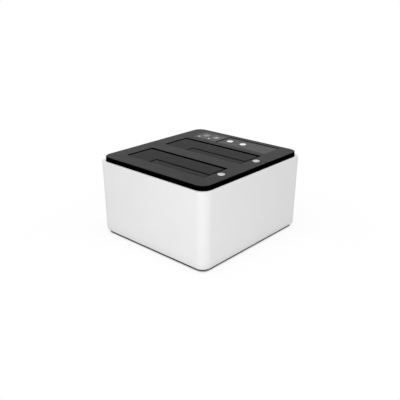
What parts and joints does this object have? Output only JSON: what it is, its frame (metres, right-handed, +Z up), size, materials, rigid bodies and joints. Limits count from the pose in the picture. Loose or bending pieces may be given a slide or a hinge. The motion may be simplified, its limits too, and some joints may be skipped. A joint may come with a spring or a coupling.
{
  "type": "drive duplicator",
  "caption": "Desktop drive dock and duplicator: upright bays with spring-shut L-shaped doors and small flaps in a raised cover, eject levers, control buttons and rear ports.",
  "frame": {"origin": "centre of the plan at the plane that the feet stand on", "axes": "+X to the duplicator's right, +Y to its rear, +Z up"},
  "size_m": [0.145, 0.155, 0.0853],
  "materials": {
    "shell_white": "fine satin white",
    "cover_black": "matt top with glossy sides",
    "door_black": "matt",
    "panel_grey": "matt",
    "base_black": "moulded",
    "rubber": "soft",
    "steel": "plain",
    "button_silver": "silvered",
    "works_plastic": "moulded",
    "lever_plastic": "moulded",
    "lens": "frosted clear",
    "board_green": "solder mask",
    "connector_black": "moulded",
    "can_silver": "sleeved",
    "ribbon_grey": "flat cable"
  },
  "bodies": {
    "housing": {"base_plate": "base_black", "base_screws": "steel", "bay_well_front": "works_plastic", "bay_well_rear": "works_plastic", "bridge_chip": "connector_black", "capacitors": "can_silver", "control_board": "board_green", "control_board_screws": "steel", "control_panel": "panel_grey", "drive_door_pin_front": "steel", "drive_door_pin_rear": "steel", "drive_door_spring_front": "steel", "drive_door_spring_rear": "steel", "eject_spring_front": "steel", "eject_spring_rear": "steel", "lamp_lens_left": "lens", "lamp_lens_right": "lens", "lever_pin_front": "steel", "lever_pin_rear": "steel", "main_board": "board_green", "main_board_screws": "steel", "outer_shell": "shell_white", "power_jack": "connector_black", "power_jack_pin": "steel", "power_switch_body": "connector_black", "rear_port_plate": "base_black", "ribbon_cable": "ribbon_grey", "ribbon_connectors": "connector_black", "rubber_feet": "rubber", "sata_socket_front": "connector_black", "sata_socket_rear": "connector_black", "small_flap_pin_front": "steel", "small_flap_pin_rear": "steel", "small_flap_spring_front": "steel", "small_flap_spring_rear": "steel", "status_lamps": "lens", "tactile_switches": "connector_black", "top_cover": "cover_black", "usb_socket": "steel", "usb_tongue": "connector_black", "well_screws": "steel"},
    "drive_door_front": {"drive_door_front": "door_black"},
    "drive_door_rear": {"drive_door_rear": "door_black"},
    "small_flap_front": {"small_flap_front": "door_black"},
    "small_flap_rear": {"small_flap_rear": "door_black"},
    "eject_button_front": {"eject_button_front": "button_silver", "eject_rod_front": "works_plastic"},
    "eject_button_rear": {"eject_button_rear": "button_silver", "eject_rod_rear": "works_plastic"},
    "eject_lever_front": {"eject_lever_front": "lever_plastic"},
    "eject_lever_rear": {"eject_lever_rear": "lever_plastic"},
    "mode_button": {"mode_button": "button_silver"},
    "start_button": {"start_button": "button_silver"},
    "power_rocker": {"power_rocker": "connector_black"}
  },
  "joints": [
    {"name": "drive_door_front_hinge", "type": "hinge", "parent": "housing", "child": "drive_door_front", "pos_m": [0, -0.0191, 0.08065], "axis": [1, 0, 0], "range_deg": [0, 86], "stiffness_Nm_per_rad": 0.01, "springref_deg": -28.65},
    {"name": "small_flap_front_hinge", "type": "hinge", "parent": "housing", "child": "small_flap_front", "pos_m": [0.0165, -0.0567, 0.081], "axis": [-1, 0, 0], "range_deg": [0, 82], "stiffness_Nm_per_rad": 0.002, "springref_deg": -28.65},
    {"name": "eject_button_front_press", "type": "slide", "parent": "housing", "child": "eject_button_front", "axis": [0, 0, -1], "range_m": [0, 0.0035], "stiffness_N_per_m": 250, "springref_m": -0.008, "deforming": ["eject_spring_front"]},
    {"name": "eject_lever_front_pivot", "type": "hinge", "parent": "housing", "child": "eject_lever_front", "pos_m": [0.05, -0.038, 0.014], "axis": [0, 1, 0], "range_deg": [0, 24]},
    {"name": "drive_door_rear_hinge", "type": "hinge", "parent": "housing", "child": "drive_door_rear", "pos_m": [0, 0.0344, 0.08065], "axis": [1, 0, 0], "range_deg": [0, 86], "stiffness_Nm_per_rad": 0.01, "springref_deg": -28.65},
    {"name": "small_flap_rear_hinge", "type": "hinge", "parent": "housing", "child": "small_flap_rear", "pos_m": [0.0165, -0.0032, 0.081], "axis": [-1, 0, 0], "range_deg": [0, 82], "stiffness_Nm_per_rad": 0.002, "springref_deg": -28.65},
    {"name": "eject_button_rear_press", "type": "slide", "parent": "housing", "child": "eject_button_rear", "axis": [0, 0, -1], "range_m": [0, 0.0035], "stiffness_N_per_m": 250, "springref_m": -0.008, "deforming": ["eject_spring_rear"]},
    {"name": "eject_lever_rear_pivot", "type": "hinge", "parent": "housing", "child": "eject_lever_rear", "pos_m": [0.05, 0.0155, 0.014], "axis": [0, 1, 0], "range_deg": [0, 24]},
    {"name": "mode_button_press", "type": "slide", "parent": "housing", "child": "mode_button", "axis": [0, 0, -1], "range_m": [0, 0.0005], "stiffness_N_per_m": 400, "springref_m": -0.002},
    {"name": "start_button_press", "type": "slide", "parent": "housing", "child": "start_button", "axis": [0, 0, -1], "range_m": [0, 0.0005], "stiffness_N_per_m": 400, "springref_m": -0.002},
    {"name": "power_rocker_tip", "type": "hinge", "parent": "housing", "child": "power_rocker", "pos_m": [-0.033, 0.0727, 0.0191], "axis": [0, 0, -1], "range_deg": [0, 16]}
  ],
  "couplings": [
    {"joint": "eject_lever_front_pivot", "follows": "eject_button_front_press", "rad_per_m": 117.65},
    {"joint": "eject_lever_rear_pivot", "follows": "eject_button_rear_press", "rad_per_m": 117.65}
  ]
}
